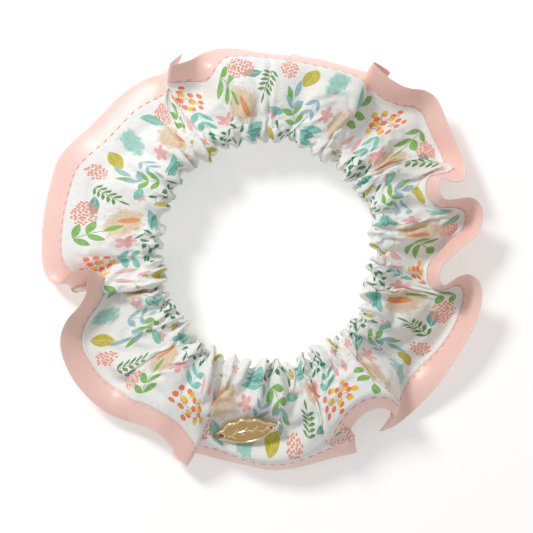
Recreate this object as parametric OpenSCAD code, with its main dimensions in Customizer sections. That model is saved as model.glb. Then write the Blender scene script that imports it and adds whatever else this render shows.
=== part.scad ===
// A gathered fabric hair tie: a printed cotton strip folded round a flat elastic band, its two long
// edges sewn together with a satin ribbon between them, and a small metal tag sewn on at the front.
// The loop lies flat on the table, +Z up, with the origin under the middle of the open centre.
// It is cut into sectors, because the whole loop grows when it is stretched.

/* [Loop] */
// Radius of the open middle when the loop is relaxed
hole_r = 27; // [25:0.5:30]
// Height of the gathered tube as it lies
tube_h = 17; // [16:0.5:19]
// From the open middle out to the sewn edge of the cotton
cotton_w = 23.5; // [23:0.5:27]
// Thickness of the gathered cotton
cotton_t = 1; // [0.8:0.1:1.2]
// How deep the soft underside is flattened by lying on a table
flattened = 0.8; // [0.5:0.1:1]
// Height of the sewn edge above the table
edge_h = 7; // [6.5:0.5:8]
// Growth of the radius as the loop is stretched, 0 when relaxed
stretch = 0; // [0:1:12]
// Angle left free between neighbouring sectors
sector_gap = 0.6; // [0.4:0.1:1]

/* [Ribbon] */
// Width of the satin that shows beyond the cotton
ribbon_w = 8.5; // [6:0.5:10]
// Width of the satin caught between the cotton edges
ribbon_seam = 3; // [2:0.5:3.5]
// Thickness of the satin
ribbon_t = 0.6; // [0.4:0.1:0.8]
// Waves along the free edge, all the way round
wave_count = 9; // [7:1:12]
// Rise and fall of the free edge
wave_h = 5; // [2:0.5:5.5]

/* [Elastic] */
// Width of the elastic band
elastic_w = 7; // [5:0.5:7]
// Thickness of the elastic band
elastic_t = 1; // [0.8:0.1:1.2]
// Free space between the elastic and the inner fold of the cotton
elastic_play = 1.5; // [1.4:0.1:1.8]
// Angle over which the two ends of the elastic lie on each other
lap_angle = 15; // [10:1:18]

/* [Stitching] */
// Thickness of the sewing thread
thread_d = 0.4; // [0.3:0.05:0.5]
// Length of a stitch
stitch_l = 2.4; // [1.8:0.1:2.8]
// Distance from one stitch to the next
stitch_pitch = 3.2; // [3:0.1:4]

/* [Tag] */
// Distance between the two holes of the tag
tag_holes = 14; // [13:0.2:16]
// Width of the tag across its middle
tag_w = 8; // [7.2:0.1:9]
// Thickness of the tag plate
tag_t = 0.7; // [0.5:0.1:0.9]
// How far the rim stands above the plate
tag_rim = 0.25; // [0.1:0.05:0.35]
// Sideways shift of the tag from the front of the loop
tag_shift = -5.2; // [-5.4:0.1:0]
// Distance of the tag from the middle of the loop
tag_r = 47.5; // [45:0.5:47.5]
// Turn of the tag in its own plane
tag_turn = 12.5; // [0:0.5:15]
// Free space under the tag, in which it rocks on its threads
tag_play = 0.9; // [0.8:0.1:1.2]

/* [Hidden] */
$fn = 48;

// name, angle it moves along when stretched, first angle, last angle; the front is at 270
SECTORS = [
    ["front", 270, 247.5, 292.5],
    ["front_right", 315, 292.5, 337.5],
    ["right", 0, -22.5, 22.5],
    ["back_right", 45, 22.5, 67.5],
    ["back_end_right", 90, 67.5, 90],
    ["back_end_left", 90, 90, 112.5],
    ["back_left", 135, 112.5, 157.5],
    ["left", 180, 157.5, 202.5],
    ["front_left", 225, 202.5, 247.5]
];
PARTS = ["cover", "ribbon", "elastic", "edge_stitching"];

// cross-section of the loop, as [distance from the middle, height]
tube_r = (tube_h + flattened) / 2;
tube_c = [hole_r + tube_r, tube_h - tube_r];
edge_r = hole_r + cotton_w;
ribbon_r = edge_r + ribbon_w;
slot_r = edge_r - ribbon_seam;
arc_step = 10;

function polar(r, a) = [r * cos(a), r * sin(a)];
// angle at which the line from p touches a circle of radius r round c, above it (side 1) or below it (side -1)
function touch_angle(c, r, p, side) =
    let (v = p - c) atan2(v[1], v[0]) + side * acos(r / norm(v));
// outline of the tube from its upper touching point, round the open middle, to its lower one
function tube_arc(r, floor_z, upper, lower) =
    let (
        from = touch_angle(tube_c, r, upper, 1),
        to = 360 + touch_angle(tube_c, r, lower, -1),
        steps = ceil((to - from) / arc_step)
    )
    [for (i = [0:steps])
        let (p = tube_c + polar(r, from + (to - from) * i / steps)) [p[0], max(p[1], floor_z)]];

edge_top = [edge_r, edge_h + ribbon_t / 2 + cotton_t];
edge_bottom = [edge_r, edge_h - ribbon_t / 2 - cotton_t];
slot_top = [slot_r, edge_h + ribbon_t / 2];
slot_bottom = [slot_r, edge_h - ribbon_t / 2];
outer_arc = tube_arc(tube_r, 0, edge_top, edge_bottom);
inner_arc = tube_arc(tube_r - cotton_t, cotton_t, slot_top, slot_bottom);
slope_top = outer_arc[0];
slope_bottom = outer_arc[len(outer_arc) - 1];
slope_angle = atan((slope_top[1] - edge_top[1]) / (edge_r - slope_top[0]));

// height of the cotton's upper and lower face between the tube and the sewn edge
function upper_z(r) = edge_top[1] + (edge_r - r) * tan(slope_angle);
function lower_z(r) =
    edge_bottom[1] - (edge_r - r) * (edge_bottom[1] - slope_bottom[1]) / (edge_r - slope_bottom[0]);

// puts a sector's shape where the stretch carries it
module carried(s) {
    translate([stretch * cos(s[1]), stretch * sin(s[1]), 0]) children();
}

// turns a cross-section about the middle, through one sector
module swept(s) {
    rotate_extrude(start = s[2] + sector_gap / 2, angle = s[3] - s[2] - sector_gap) children();
}

// a straight length of thread from a to b
module thread(a, b, d = thread_d) {
    v = b - a;
    translate(a) rotate([0, acos(v[2] / norm(v)), atan2(v[1], v[0])]) cylinder(d = d, h = norm(v));
}

// a stitch that joins everything between two parallel lines, a to b and a + through to b + through
module stitch(a, b, through) {
    along = (b - a) / norm(b - a) * thread_d / 2;
    thread(a - along, b + along);
    thread(a - along + through, b + along + through);
    for (p = [a, b]) thread(p, p + through, thread_d * 0.9);
}

// the printed cotton, one strip folded round the elastic with both edges outwards
module cover(s) {
    color([0.95, 0.94, 0.92]) carried(s) swept(s) difference() {
        polygon(concat(outer_arc, [edge_bottom, edge_top]));
        polygon(concat(inner_arc, [
            slot_bottom, [edge_r + 1, slot_bottom[1]], [edge_r + 1, slot_top[1]], slot_top
        ]));
    }
}

// the satin ribbon, flat where it is sewn in and waving along its free edge
ribbon_play = 0.2;
ribbon_rings = 5;
function ribbon_ring_r(i) =
    i == 0 ? slot_r + ribbon_play :
    let (first = edge_r + ribbon_play) first + (ribbon_r - first) * (i - 1) / (ribbon_rings - 2);
function ribbon_ring_z(i, a) =
    edge_h + wave_h * sin(wave_count * a) * pow(max(0, i - 1) / (ribbon_rings - 2), 1.3);

module ribbon(s) {
    first = s[2] + sector_gap / 2;
    last = s[3] - sector_gap / 2;
    steps = ceil((last - first) / 2);
    ring = ribbon_rings * 2;
    // one closed ring of points per angle: out along the top, back along the underside
    points = [for (k = [0:steps]) let (a = first + (last - first) * k / steps)
        for (j = [0:ring - 1])
            let (
                i = j < ribbon_rings ? j : ring - 1 - j,
                side = j < ribbon_rings ? 0.5 : -0.5,
                p = polar(ribbon_ring_r(i), a)
            )
            [p[0], p[1], ribbon_ring_z(i, a) + side * ribbon_t]];
    sides = [for (k = [0:steps - 1]) for (j = [0:ring - 1])
        let (
            a = k * ring + j, b = k * ring + (j + 1) % ring,
            c = b + ring, d = a + ring
        )
        each [[a, b, c], [a, c, d]]];
    // an end is a row of flat four-sided pieces, each between the top and the underside
    caps = [for (i = [0:ribbon_rings - 2])
        let (a = i, b = i + 1, c = ring - 2 - i, d = ring - 1 - i, far = steps * ring)
        each [
            [a, c, b], [a, d, c],
            [far + a, far + b, far + c], [far + a, far + c, far + d]
        ]];
    color([0.96, 0.79, 0.75]) carried(s) polyhedron(points, concat(sides, caps));
}

// the flat elastic inside the inner fold; its two ends lie on each other at the back
elastic_r = hole_r + cotton_t + elastic_play;
module elastic_layer(r, first, angle) {
    rotate_extrude(start = first, angle = angle)
        translate([r, tube_c[1] - elastic_w / 2]) square([elastic_t, elastic_w]);
}

module elastic(s) {
    first = s[2] + sector_gap / 2;
    color([0.97, 0.97, 0.95]) carried(s) {
        elastic_layer(elastic_r, first, s[3] - s[2] - sector_gap);
        if (s[0] == "back_end_left") elastic_layer(elastic_r + elastic_t, first, lap_angle);
    }
}

// the row of stitches that holds the two cotton edges and the ribbon together
module edge_stitching(s) {
    row_r = (slot_r + edge_r) / 2;
    pitch = stitch_pitch / row_r * 180 / PI;
    count = floor((s[3] - s[2] - sector_gap) / pitch);
    half_l = stitch_l / row_r * 90 / PI;
    top = upper_z(row_r);
    bottom = lower_z(row_r);
    color([0.93, 0.72, 0.68]) carried(s) for (i = [0:count - 1]) {
        mid = (s[2] + s[3]) / 2 + (i - (count - 1) / 2) * pitch;
        a = polar(row_r, mid - half_l);
        b = polar(row_r, mid + half_l);
        stitch([a[0], a[1], bottom], [b[0], b[1], bottom], [0, 0, top - bottom]);
    }
}

// the seam across the strip that closes the cotton into a loop, sewn on its inner face
module closing_seam_stitching() {
    seam_angle = 89;
    r = tube_r - cotton_t;
    stitch_angle = stitch_l / r * 180 / PI;
    pitch_angle = stitch_pitch / r * 180 / PI;
    function on_seam(a) = let (p = tube_c + polar(r, a)) [p[0], 0, p[1]];
    color([0.9, 0.9, 0.88]) carried(SECTORS[4]) rotate([0, 0, seam_angle])
        for (a = [90:pitch_angle:250]) thread(on_seam(a), on_seam(a + stitch_angle));
}

// three bars of stitches through both layers of the elastic's lap
module elastic_join_stitching() {
    bars = 3;
    low = tube_c[1] - stitch_l;
    high = tube_c[1] + stitch_l;
    r = elastic_r - thread_d / 4;
    through = 2 * elastic_t + thread_d / 2;
    color([0.85, 0.85, 0.83]) carried(SECTORS[5])
        for (i = [1:bars]) rotate([0, 0, 90 + sector_gap / 2 + lap_angle * i / (bars + 1)])
            stitch([r, 0, low], [r, 0, high], [through, 0, 0]);
}

// the tag's own frame: x along its holes, y towards the middle of the loop, z away from the cotton
module on_tag() {
    carried(SECTORS[0]) translate([tag_shift, -tag_r, upper_z(tag_r)])
        rotate([slope_angle, 0, 0]) rotate([0, 0, tag_turn])
            translate([0, 0, tag_play]) children();
}

hole_d = 1.5;
eye_d = 3;
// a pointed oval of half-length l and half-width w
module pointed_oval(l, w) {
    r = (l * l + w * w) / (2 * w);
    intersection_for (side = [-1, 1]) translate([0, side * (r - w)]) circle(r = r);
}

// the tag's outline: a pointed oval with a scalloped upper edge and an eye at each end
module tag_outline(inset) {
    pointed_oval(tag_holes / 2 + 0.6 - inset, tag_w / 2 - inset);
    for (i = [-1:1]) translate([i * 3.4 - 0.4, tag_w / 2 - 2.35 - abs(i) * 0.75]) circle(r = 2.7 - inset);
}

module tag_plate() {
    color([0.78, 0.65, 0.42]) on_tag() difference() {
        union() {
            linear_extrude(tag_t) tag_outline(0);
            linear_extrude(tag_t + tag_rim) difference() {
                tag_outline(0);
                tag_outline(0.6);
            }
            for (x = [-1, 1]) translate([x * tag_holes / 2, 0, 0]) cylinder(d = eye_d, h = tag_t + tag_rim);
        }
        for (x = [-1, 1]) translate([x * tag_holes / 2, 0, -1]) cylinder(d = hole_d, h = tag_t + 2);
    }
}

// a loop of thread from the cotton up through the hole of the tag, over its end and down again
tack_out = 2;
tack_over = 0.45;
tack_depth = 2.7;
module tack(side) {
    top = tag_t + tag_rim + tack_over;
    inner = [side * tag_holes / 2, 0, top];
    outer = inner + [side * tack_out, 0, 0];
    reach = [side * thread_d / 2, 0, 0];
    thread(inner - reach, outer + reach);
    for (p = [inner, outer]) thread(p, [p[0], 0, -tack_depth], thread_d * 0.9);
}

module tag_thread_left() { color([0.62, 0.5, 0.38]) on_tag() tack(-1); }
module tag_thread_right() { color([0.98, 0.98, 0.97]) on_tag() tack(1); }

for (s = SECTORS) {
    cover(s);
    ribbon(s);
    elastic(s);
    edge_stitching(s);
}
closing_seam_stitching();
elastic_join_stitching();
tag_plate();
tag_thread_left();
tag_thread_right();
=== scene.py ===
"""A floral cotton scrunchie with a pink satin edge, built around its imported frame. Lengths are in mm."""

import math
from functools import partialmethod

import bpy
import numpy as np
from mathutils import Matrix, Vector


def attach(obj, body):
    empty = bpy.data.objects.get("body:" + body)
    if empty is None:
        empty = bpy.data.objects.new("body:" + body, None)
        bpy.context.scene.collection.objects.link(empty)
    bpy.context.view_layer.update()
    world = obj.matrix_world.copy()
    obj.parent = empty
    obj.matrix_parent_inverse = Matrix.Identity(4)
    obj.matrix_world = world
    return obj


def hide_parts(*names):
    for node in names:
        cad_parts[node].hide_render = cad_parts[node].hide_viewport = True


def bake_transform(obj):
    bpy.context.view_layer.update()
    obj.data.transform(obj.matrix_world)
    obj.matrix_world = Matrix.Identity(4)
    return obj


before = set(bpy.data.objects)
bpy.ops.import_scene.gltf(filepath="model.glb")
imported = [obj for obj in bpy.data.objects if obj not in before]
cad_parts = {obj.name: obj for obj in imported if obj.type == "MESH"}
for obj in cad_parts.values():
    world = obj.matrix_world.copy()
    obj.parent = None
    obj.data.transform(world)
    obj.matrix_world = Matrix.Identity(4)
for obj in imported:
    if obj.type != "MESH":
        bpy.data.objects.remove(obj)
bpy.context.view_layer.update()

MM = 0.001
TAU = 2 * math.pi

# The strip that the cover is sewn from, and the ribbon along its edge
STRIP_L = 468.0
TOP_W = 30.0
UNDER_W = 27.0
RIBBON_W = 7.6
RIBBON_T = 0.3
RIBBON_SEAM = 3.0
INNER_X = 28.2
INNER_Y = 30.2
INNER_Z = 8.0

# The grids: columns along the strip, rows across it
SIM_COLUMNS = 448
SIM_ROWS = 60
FINE = 2
COLUMNS = SIM_COLUMNS * FINE
RIBBON_ROWS = 8

# The ruffle, once round from the closing seam: the ribbon's free edge x, y, z, then its sewn line x, y, z
RUFFLE = [
    (1, 53.5, 5, 1, 51.3, 12),
    (-5.5, 54.5, 4.5, -5.5, 51.8, 11.5),
    (-10.5, 55, 5, -10.5, 51.5, 11.5),
    (-14, 54.5, 7, -12.5, 50.2, 12),
    (-17.5, 53, 10, -15.5, 48.3, 11),
    (-20.5, 51, 13, -19.5, 46.5, 8.5),
    (-26, 49.5, 15, -26.5, 45.5, 9),
    (-22.5, 53, 9.5, -25, 47, 6),
    (-27.5, 48.5, 4, -27.5, 42, 7),
    (-32.5, 47, 3.5, -29.8, 40.5, 6),
    (-39, 43, 3, -34.5, 37.5, 6),
    (-44, 38, 3, -39.5, 32.5, 6),
    (-48.5, 33.5, 3, -43.5, 28.5, 6),
    (-52.5, 30, 3, -47, 25.5, 6),
    (-56.5, 25.5, 2.5, -50, 21.5, 6),
    (-59, 18, 2, -52.3, 15.5, 6),
    (-60.6, 10, 2, -54.2, 8.5, 6),
    (-61.2, 3, 2, -55, 2.5, 6),
    (-61, -3, 2.5, -54.5, -2.5, 6),
    (-59.5, -7.5, 4.5, -53, -6, 5),
    (-56.5, -9, 8, -53, -9, 3),
    (-53.5, -7, 12, -52.5, -10.5, 5.5),
    (-50.5, -5.5, 15, -50, -9.5, 8.5),
    (-48, -5, 16, -47.5, -8.5, 9.5),
    (-46.5, -5.2, 16.5, -44, -6.8, 9.5),
    (-47.8, -8, 15.5, -43.5, -7.8, 9.5),
    (-48, -11, 13.5, -43.8, -10.5, 8),
    (-50, -14.7, 12, -45.2, -14, 6.5),
    (-53.5, -18.5, 10.5, -48.3, -18.5, 5),
    (-55.3, -22.5, 9.5, -50, -23, 4),
    (-55.4, -26.7, 9, -49.7, -26.5, 4),
    (-53.8, -31.7, 8, -48, -30, 4),
    (-51.3, -36.2, 7, -45.5, -34, 4),
    (-47.2, -40.8, 6, -42, -37.5, 4.5),
    (-42.2, -44.5, 5, -39, -39.5, 6),
    (-37.2, -46.4, 5, -36, -40.5, 8),
    (-33, -47.5, 7, -32.5, -41, 10),
    (-29, -49.5, 8.5, -27.5, -43.5, 12),
    (-26, -52.4, 8, -22.5, -47, 11.5),
    (-21.2, -58.5, 6.5, -18.5, -53, 10),
    (-26, -54.5, 4, -22, -50, 7),
    (-18, -55.3, 1.5, -17.5, -52, 8),
    (-14, -56.5, 1, -13.5, -53, 7.5),
    (-6, -58.3, 0.8, -6, -56, 7.5),
    (1, -59.7, 0.8, 1, -57.3, 7.7),
    (7, -59.3, 1.5, 6.5, -56.8, 8.4),
    (13.5, -57.7, 2, 12.5, -54.8, 8.5),
    (19, -56.2, 2, 17.5, -52.8, 8),
    (25, -54.8, 2, 24.3, -50.3, 7.5),
    (20, -54.3, 5, 16.9, -52, 11),
    (21.3, -50.5, 7, 17.7, -48.8, 13),
    (23.5, -47, 8.5, 20, -44.5, 14.5),
    (26, -44.2, 9.5, 23.3, -41, 15.5),
    (28.7, -42.6, 10, 27, -38.9, 16),
    (31.8, -42.3, 10, 31, -38.6, 16),
    (34.3, -44, 8.5, 34.2, -39.7, 14.5),
    (34, -46.3, 5, 35.5, -42, 10.5),
    (30.8, -49.3, 2, 34, -44, 6.5),
    (34.5, -48, 1.5, 35.5, -42.5, 5.5),
    (38.5, -45, 2.5, 36.8, -38.5, 4.5),
    (45, -38.3, 5, 41, -33.5, 3),
    (50, -31, 7.5, 45.8, -28.8, 3),
    (54, -24.2, 9, 49.8, -22.8, 3),
    (57, -17.6, 10, 52.3, -17.2, 4),
    (58, -11.8, 11.5, 53.3, -12.3, 5.5),
    (57, -8.2, 13, 53, -10.5, 7),
    (54.7, -6.3, 14, 52, -9.5, 7.5),
    (51.8, -6.7, 15, 50.5, -9.3, 8),
    (49.3, -8.3, 15.5, 48.5, -10.3, 8.5),
    (47.3, -9.3, 16, 45.5, -10.3, 9),
    (46.2, -7.7, 16, 43.8, -8.5, 9),
    (46.7, -4.7, 15.5, 43.8, -4.5, 9),
    (48.3, -2.5, 14.5, 45.3, -1.7, 8),
    (50.4, -0.9, 13, 47.8, 0.8, 6.5),
    (53.7, 2, 11.5, 51, 4, 5),
    (56.6, 4.2, 11, 53.3, 5.8, 4.5),
    (58, 7.4, 11, 54.2, 8, 5),
    (58.1, 10.7, 12, 54, 10, 6),
    (57, 13.1, 13, 53.3, 11.3, 7),
    (54.9, 14.3, 14, 52, 11.5, 7.5),
    (52, 14, 15, 50.3, 12, 8),
    (47.9, 13.6, 16, 46.7, 12, 9),
    (46.2, 15.6, 16.5, 43.5, 14.5, 9.5),
    (46.6, 19.3, 16, 43.8, 19.8, 9),
    (50, 18.4, 15, 49, 21, 8.5),
    (53.5, 19.3, 12, 51, 22.5, 6.5),
    (53.6, 22, 10, 49, 23.5, 5),
    (52, 27.2, 9, 47.8, 27, 3.5),
    (49.5, 33, 9, 45.5, 31.5, 3.5),
    (45.8, 41.3, 9, 42.8, 37.5, 4),
    (42.5, 43.3, 10, 40.5, 39.5, 5),
    (38.4, 43.7, 11, 37, 39.8, 5.5),
    (33, 46.4, 12, 31, 41.8, 7),
    (28.5, 50.8, 13, 26.3, 46.3, 8.5),
    (33.8, 47.8, 8.5, 30.5, 44.5, 4.5),
    (26, 49, 4, 25.5, 46, 10),
    (20, 50.7, 4, 19.5, 48, 11),
    (13.6, 52.2, 4.5, 13, 49.3, 11.5),
    (7, 52.9, 5, 6.7, 50.6, 12),
]


def smooth_ring(values, sigma):
    """Gaussian smoothing along a closed row of samples, with sigma in samples."""
    n = len(values)
    k = np.fft.fftfreq(n) * TAU
    gain = np.exp(-0.5 * (k * sigma) ** 2)
    shape = (n,) + (1,) * (values.ndim - 1)
    return np.real(np.fft.ifft(np.fft.fft(values, axis=0) * gain.reshape(shape), axis=0))


def closed_spline(points, count):
    """A closed curve through the points, sampled count times."""
    p = np.array(points, float)
    n = len(p)
    before, after = np.roll(p, 1, 0), np.roll(p, -1, 0)
    beyond = np.roll(p, -2, 0)
    step = np.linalg.norm(after - p, axis=1) ** 0.5
    step_before, step_after = np.roll(step, 1), np.roll(step, -1)
    many = 24
    t = np.linspace(0, 1, many, endpoint=False)[None, :, None]
    h0, h1, h2 = step_before[:, None], step[:, None], step_after[:, None]
    m1 = h1 * ((p - before) / h0 - (after - before) / (h0 + h1) + (after - p) / h1)
    m2 = h1 * ((after - p) / h1 - (beyond - p) / (h1 + h2) + (beyond - after) / h2)
    a, b = (2 * t**3 - 3 * t**2 + 1), (t**3 - 2 * t**2 + t)
    c, d = (3 * t**2 - 2 * t**3), (t**3 - t**2)
    q = (a * p[:, None] + b * m1[:, None] + c * after[:, None] + d * m2[:, None]).reshape(n * many, -1)
    return even_steps(q, count)


def sample(values, steps, at, **settings):
    """The rows of values, given at these steps, at other places between them."""
    return np.stack([np.interp(at, steps, column, **settings) for column in values.T], 1)


def even_steps(q, count):
    """The closed curve again, with count samples at equal steps of the mean of edge and sewn line."""
    both = np.vstack([q, q[:1]])
    lengths = sum(np.linalg.norm(np.diff(both[:, part], axis=0), axis=1) for part in (slice(3), slice(3, 6)))
    s = np.concatenate([[0], np.cumsum(lengths)])
    at = np.linspace(0, s[-1], count, endpoint=False)
    return sample(both, s, at)


def unit(v):
    return v / np.maximum(np.linalg.norm(v, axis=-1, keepdims=True), 1e-9)


def ruffle_lines(count):
    """The free edge, the sewn line and the direction from edge to sewn line, for each column."""
    q = closed_spline(RUFFLE, count)
    q = even_steps(smooth_ring(q, 0.55 * count / STRIP_L), count)
    edge, sewn = q[:, :3], q[:, 3:]
    across = unit(sewn - edge)
    sewn = edge + across * RIBBON_W
    return edge, sewn, across


def inner_angles(sewn):
    """The angle at which each column reaches the elastic: the gathers spread the strip evenly over it."""
    angle = np.unwrap(np.arctan2(sewn[:, 1], sewn[:, 0]))
    n = len(angle)
    ramp = angle[0] + TAU * np.arange(n) / n
    return ramp + smooth_ring(angle - ramp, 24 * n / STRIP_L)


def mix(a, b, t):
    return a + (b - a) * t


def bezier(points, t):
    """The Bezier curve of these control points, one for each column, at each t."""
    n = len(points) - 1
    out = 0
    for i, p in enumerate(points):
        weight = math.comb(n, i) * (1 - t[None, :, None]) ** (n - i) * t[None, :, None] ** i
        out = out + weight * p[:, None, :]
    return out


# Half the gap between the cover's two layers at the sewn line, and the cloth's least height above the floor
LAYER = 0.45
FLOOR_GAP = 0.3


def cover_base(edge, sewn, across, normal):
    """The cover without its gathers, from the upper sewn line over and under the tube, and its top's rows."""
    angle = inner_angles(sewn)
    radial = np.stack([np.cos(angle), np.sin(angle), 0 * angle], 1)
    inner = np.stack([INNER_X * np.cos(angle), INNER_Y * np.sin(angle), 0 * angle + INNER_Z], 1)
    up = np.array([0.0, 0.0, 1.0])
    rows = SIM_ROWS
    top_rows = round(rows * TOP_W / (TOP_W + UNDER_W))
    t_top = np.linspace(1, 0, top_rows, endpoint=False)
    t_under = np.linspace(0, 1, rows - top_rows + 1)
    seam_rise = sewn[:, 2:3]
    shoulder = sewn + across * 8
    shoulder[:, 2] = np.clip(shoulder[:, 2], 3.5, 17.5)
    crown = inner + radial * 5 + up * 11
    over, below = sewn + normal * LAYER, sewn - normal * LAYER
    top = bezier([inner, inner - radial * 1.0 + up * 9, crown, shoulder, over], t_top)
    low = inner - radial * 0.6 - up * 10
    belly = mix(inner, sewn, 0.55)
    belly[:, 2:3] = -2 + 0.5 * np.maximum(seam_rise - 7, 0)
    near = sewn + across * 5
    near[:, 2] = np.clip(near[:, 2] - 2.5, 0.5, 14)
    under = bezier([inner, low, belly, near, below], t_under)
    return np.concatenate([top, under], 1), top_rows


# How many pleats there are at the elastic, puffs above them and broad waves through both
PLEATS = 60
PUFFS = 31
WAVES = 16


def gathers(grid, top_rows, seed=4):
    """The gathers' first shape: fine pleats at the elastic, with wider puffs above them."""
    rng = np.random.default_rng(seed)
    n, rows = grid.shape[:2]
    x = np.arange(n) / n

    def wander(count, amount):
        phase = rng.uniform(0, TAU, 6)
        parts = [np.sin(TAU * (k + 1) * x * 3 + phase[k]) / (k + 1) for k in range(6)]
        return count * x * TAU + amount * sum(parts)

    v = np.linspace(0, 1, rows)
    inner_v = top_rows / (rows - 1)
    near_inner = np.exp(-((np.abs(v - inner_v) / 0.21) ** 3))
    top_half = np.exp(-((np.abs(v - inner_v * 0.58) / 0.25) ** 3))
    under_half = np.exp(-((np.abs(v - inner_v * 1.5) / 0.2) ** 2))
    fine = np.sin(wander(PLEATS, 2.2))
    wide = np.abs(np.sin(wander(PUFFS, 1.8) / 2)) * 2 - 1.0
    broad = np.sin(wander(WAVES, 1.2))
    strength = np.clip(1 + smooth_ring(rng.standard_normal(n), 5), 0.6, 1.3)
    push = fine[:, None] * near_inner * 1.35 * strength[:, None]
    push = push + wide[:, None] * (1.4 * top_half + 0.8 * under_half) * strength[::-1, None]
    push = push + broad[:, None] * (top_half + under_half) * 0.5
    fade = np.clip(np.minimum(v, 1 - v) / 0.12, 0, 1) ** 1.3
    return grid - grid_normals(grid) * (push * fade)[:, :, None]


SIM_SCALE = 10.0
SIM_FRAMES = 20
AT_ELASTIC = 0.12


def relax_cloth(grid, top_rows, frames):
    """Cotton cloth simulation: the gathers push each other out until the strip has its true size again."""
    n, rows = grid.shape[:2]
    scale = SIM_SCALE * MM
    ob = mesh_piece("relaxing", grid * SIM_SCALE, grid_faces(n, rows, wrap_columns=True), None)
    ob.shape_key_add(name="Basis")
    flat = ob.shape_key_add(name="flat")
    turn = TAU * np.arange(n) / n
    radius = STRIP_L / TAU
    w = np.linspace(0, TOP_W + UNDER_W, rows)
    rest = np.zeros((n, rows, 3))
    rest[:, :, 0] = (radius * np.cos(turn))[:, None]
    rest[:, :, 1] = (radius * np.sin(turn))[:, None]
    rest[:, :, 2] = -w[None, :]
    flat.data.foreach_set("co", (rest * scale).ravel())
    pins = ob.vertex_groups.new(name="pins")
    index = np.arange(n * rows).reshape(n, rows)
    pins.add(index[:, [0, -1]].ravel().tolist(), 1.0, "REPLACE")
    pins.add(index[:, top_rows - 1 : top_rows + 2].ravel().tolist(), AT_ELASTIC, "REPLACE")
    cloth = ob.modifiers.new("cloth", "CLOTH")
    c = cloth.settings
    c.quality = 6
    c.mass = 0.1
    c.air_damping = 4.0
    c.tension_stiffness = c.compression_stiffness = c.shear_stiffness = 12.0
    c.bending_model = "ANGULAR"
    c.bending_stiffness = 0.15
    c.tension_damping = c.compression_damping = c.shear_damping = 5.0
    c.bending_damping = 0.5
    c.vertex_group_mass = "pins"
    c.pin_stiffness = 1.0
    c.rest_shape_key = flat
    c.effector_weights.gravity = 0.0
    k = cloth.collision_settings
    k.use_collision = False
    k.use_self_collision = True
    k.self_distance_min = 0.35 * scale
    k.self_friction = 2.0
    k.collision_quality = 2
    cloth.point_cache.frame_start = 1
    cloth.point_cache.frame_end = frames
    scene = bpy.context.scene
    for frame_number in range(1, frames + 1):
        scene.frame_set(frame_number)
    found = ob.evaluated_get(bpy.context.evaluated_depsgraph_get()).data
    co = np.empty(n * rows * 3)
    found.vertices.foreach_get("co", co)
    mesh = ob.data
    bpy.data.objects.remove(ob)
    bpy.data.meshes.remove(mesh)
    scene.frame_set(1)
    return co.reshape(n, rows, 3) / scale


def fold_frame(edge, sewn, across):
    """The ribbon's upper normal for each column."""
    along = np.roll(sewn, -1, 0) - np.roll(sewn, 1, 0) + np.roll(edge, -1, 0) - np.roll(edge, 1, 0)
    return unit(np.cross(along, across))


def refine(grid, factor):
    """The grid with factor times the columns and rows, by smooth interpolation."""
    n, rows, _ = grid.shape
    spectrum = np.fft.rfft(grid, axis=0)
    wide = np.zeros((n * factor // 2 + 1, rows, 3), complex)
    wide[: len(spectrum)] = spectrum
    grid = np.fft.irfft(wide, n * factor, axis=0) * factor
    at = np.linspace(0, rows - 1, (rows - 1) * factor + 1)
    j = np.clip(at.astype(int), 0, rows - 2)
    t = (at - j)[None, :, None]
    p0, p1 = grid[:, np.maximum(j - 1, 0)], grid[:, j]
    p2, p3 = grid[:, j + 1], grid[:, np.minimum(j + 2, rows - 1)]
    bend, twist = 2 * p0 - 5 * p1 + 4 * p2 - p3, 3 * p1 - p0 - 3 * p2 + p3
    return 0.5 * (2 * p1 + (p2 - p0) * t + bend * t**2 + twist * t**3)


def soften(grid, passes, strength=0.5):
    """Evens out the grid's smallest bumps; the first and last rows stay."""
    for _ in range(passes):
        around = (np.roll(grid, 1, 0) + np.roll(grid, -1, 0)) / 4
        across = np.zeros_like(grid)
        across[:, 1:-1] = (grid[:, :-2] + grid[:, 2:]) / 4
        target = around + across
        grid = np.concatenate([grid[:, :1], mix(grid, target, strength)[:, 1:-1], grid[:, -1:]], 1)
    return grid


# The joints that the strip crosses, anticlockwise from the closing seam: two angles with their bodies
SECTIONS = [
    (90, "back_end_left", 135, "back_left"),
    (135, "back_left", 180, "left"),
    (180, "left", 225, "front_left"),
    (225, "front_left", 270, "front"),
    (270, "front", 315, "front_right"),
    (315, "front_right", 360, "right"),
    (360, "right", 405, "back_right"),
    (405, "back_right", 450, "back_end_right"),
]
# Columns by the closing seam and under the tag count as standing at the angle of the joint there
STIFF_FROM = [79, 101, 135, 180, 225, 254, 286, 315, 360, 405, 439, 461]
STIFF_TO = [90, 90, 135, 180, 225, 270, 270, 315, 360, 405, 450, 450]


def steady_angles(angles):
    """The angle at which each column counts as standing."""
    return np.interp(angles, STIFF_FROM, STIFF_TO)


def section_ends(angles):
    """The first and the last column of each section. Neighbours share a column."""
    ends = []
    for first, _, last, _ in SECTIONS:
        a = 0 if first == 90 else int(np.argmax(angles >= first))
        b = len(angles) - 1 if last == 450 else int(np.argmax(angles >= last))
        ends.append((a, b))
    return ends


def share(steady, first, last):
    """How much of a column's weight goes to the section's last body, by the sines of its angles from the
    section's two ends.
    """
    a = np.sin(np.radians(np.clip(steady - first, 0, 45)))
    b = np.sin(np.radians(np.clip(last - steady, 0, 45)))
    return a / (a + b)


def grid_normals(grid, wrap_rows=False, wrap_columns=True):
    du = np.roll(grid, -1, 0) - np.roll(grid, 1, 0) if wrap_columns else np.gradient(grid, axis=0)
    dv = np.roll(grid, -1, 1) - np.roll(grid, 1, 1) if wrap_rows else np.gradient(grid, axis=1)
    return unit(np.cross(dv, du))


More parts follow.
